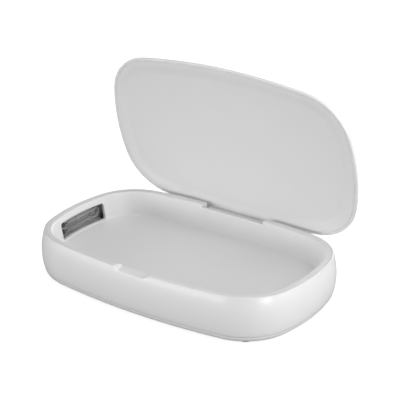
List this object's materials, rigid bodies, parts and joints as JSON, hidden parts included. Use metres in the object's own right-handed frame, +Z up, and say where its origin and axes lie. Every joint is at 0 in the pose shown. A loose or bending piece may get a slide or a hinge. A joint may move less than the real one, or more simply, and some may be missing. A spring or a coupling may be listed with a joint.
{
  "type": "uv sanitizer box for phones",
  "caption": "Low oval box with a hinged domed lid; a phone lies in its tray while UV lamps behind windows in both ends shine on it.",
  "frame": {"origin": "on the table, in the middle of the four rubber feet", "axes": "+Z up, +X along the box, +Y to the hinge and the USB-C inlet"},
  "size_m": [0.1948, 0.1272, 0.1366],
  "materials": {
    "shell_white": "satin pearl white moulded ABS",
    "liner_white": "fine matt white moulded ABS",
    "lid_white": "satin pearl white moulded ABS",
    "cover_white": "fine matt white moulded ABS",
    "foot_rubber": "black rubber",
    "reflector_metal": "polished aluminium",
    "lamp_quartz": "clear quartz glass",
    "holder_rubber": "black silicone rubber",
    "hinge_steel": "stainless steel",
    "screw_steel": "zinc plated steel",
    "circuit_board": "green solder mask",
    "components": "black moulded components",
    "transformer_core": "dark ferrite",
    "socket_metal": "nickel plated steel",
    "button_plastic": "satin white moulded ABS",
    "light_pipe_clear": "clear acrylic",
    "magnet_nickel": "nickel plated magnet"
  },
  "bodies": {
    "base": {"base_shell": "shell_white", "tray_liner": "liner_white", "bottom_cover": "cover_white", "rubber_feet": "foot_rubber", "cover_screws": "screw_steel", "reflector_left": "reflector_metal", "reflector_right": "reflector_metal", "uv_lamp_left": "lamp_quartz", "uv_lamp_right": "lamp_quartz", "lamp_holders_left": "holder_rubber", "lamp_holders_right": "holder_rubber", "main_board": "circuit_board", "board_components": "components", "inverter_board": "circuit_board", "inverter_transformer": "transformer_core", "board_screws": "screw_steel", "usb_c_socket": "socket_metal", "button_board": "circuit_board", "tact_switch": "components", "indicator_led": "components", "light_pipe": "light_pipe_clear", "hall_sensor_board": "circuit_board", "base_magnets": "magnet_nickel", "hinge_bracket_left": "hinge_steel", "hinge_bracket_right": "hinge_steel", "hinge_screws": "screw_steel", "friction_clip_left": "hinge_steel", "friction_clip_right": "hinge_steel"},
    "lid": {"lid_shell": "lid_white", "lid_inner_panel": "lid_white", "lid_magnets": "magnet_nickel", "hinge_knuckle": "lid_white", "hinge_pin": "hinge_steel"},
    "button": {"power_button": "button_plastic"}
  },
  "joints": [
    {"name": "lid_hinge", "type": "hinge", "parent": "base", "child": "lid", "pos_m": [0, 0.05499, 0.0248], "axis": [1, 0, 0], "range_deg": [0, 76.8]},
    {"name": "button_press", "type": "slide", "parent": "base", "child": "button", "axis": [0, -1, 0], "range_m": [0, 0.0008], "stiffness_N_per_m": 1200, "springref_m": -0.0005}
  ]
}
